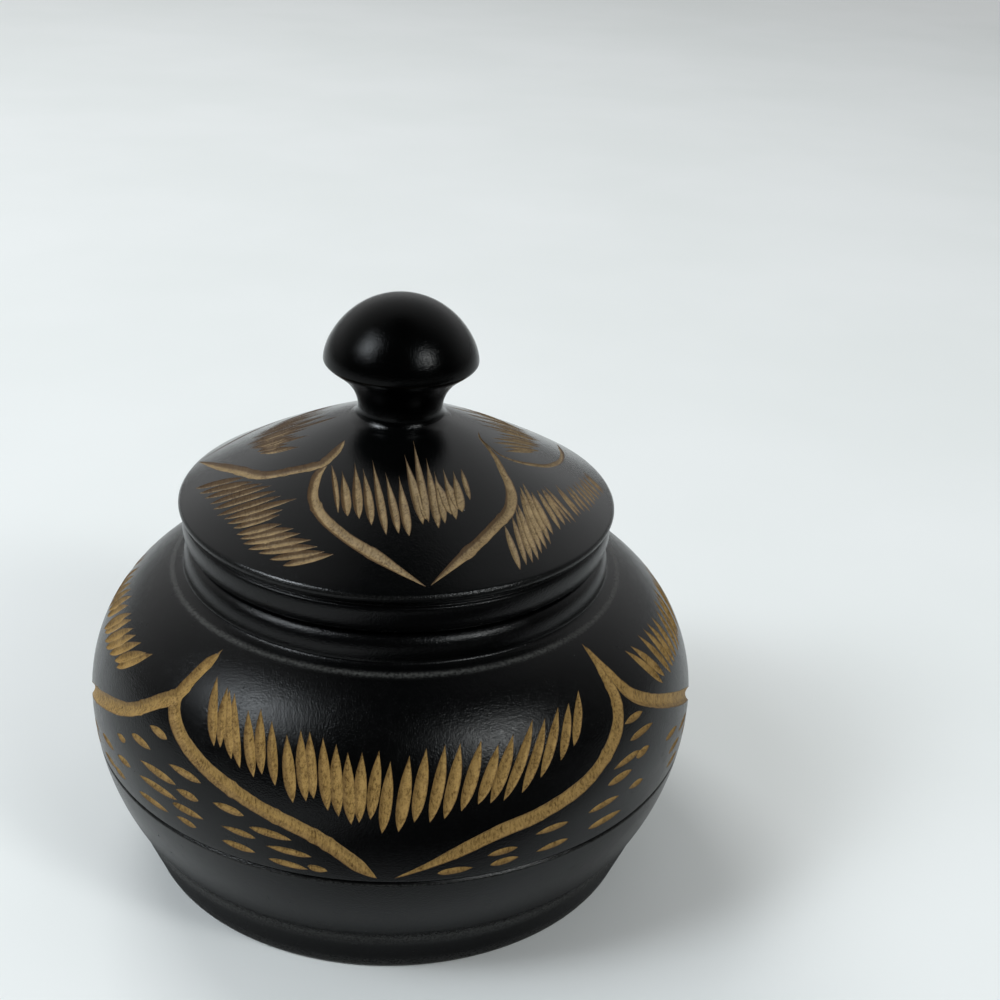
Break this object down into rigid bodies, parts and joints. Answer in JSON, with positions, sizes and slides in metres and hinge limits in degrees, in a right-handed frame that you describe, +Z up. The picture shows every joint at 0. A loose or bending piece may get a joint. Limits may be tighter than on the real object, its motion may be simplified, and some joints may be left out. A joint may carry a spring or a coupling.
{
  "type": "lidded trinket jar",
  "caption": "Round turned wooden trinket jar with a bellied hollow body, a lift-off lid and a mushroom knob, black with carved petals.",
  "frame": {"origin": "centre of the face that the jar stands on", "axes": "+Z up along the turning axis; the front seen in the picture faces -Y"},
  "size_m": [0.0784, 0.0784, 0.0743],
  "materials": {
    "body_lacquer": "satin black lacquer over pale wood, which shows in the carving",
    "lid_lacquer": "satin black lacquer over pale wood, which shows in the carving",
    "knob_lacquer": "glossy black lacquer"
  },
  "bodies": {
    "jar": {"jar_body": "body_lacquer"},
    "lid": {"lid": "lid_lacquer", "lid_knob": "knob_lacquer"}
  },
  "joints": [
    {"name": "lid_lift", "type": "slide", "parent": "jar", "child": "lid", "axis": [0, 0, 1], "range_m": [0, 0.06]}
  ]
}
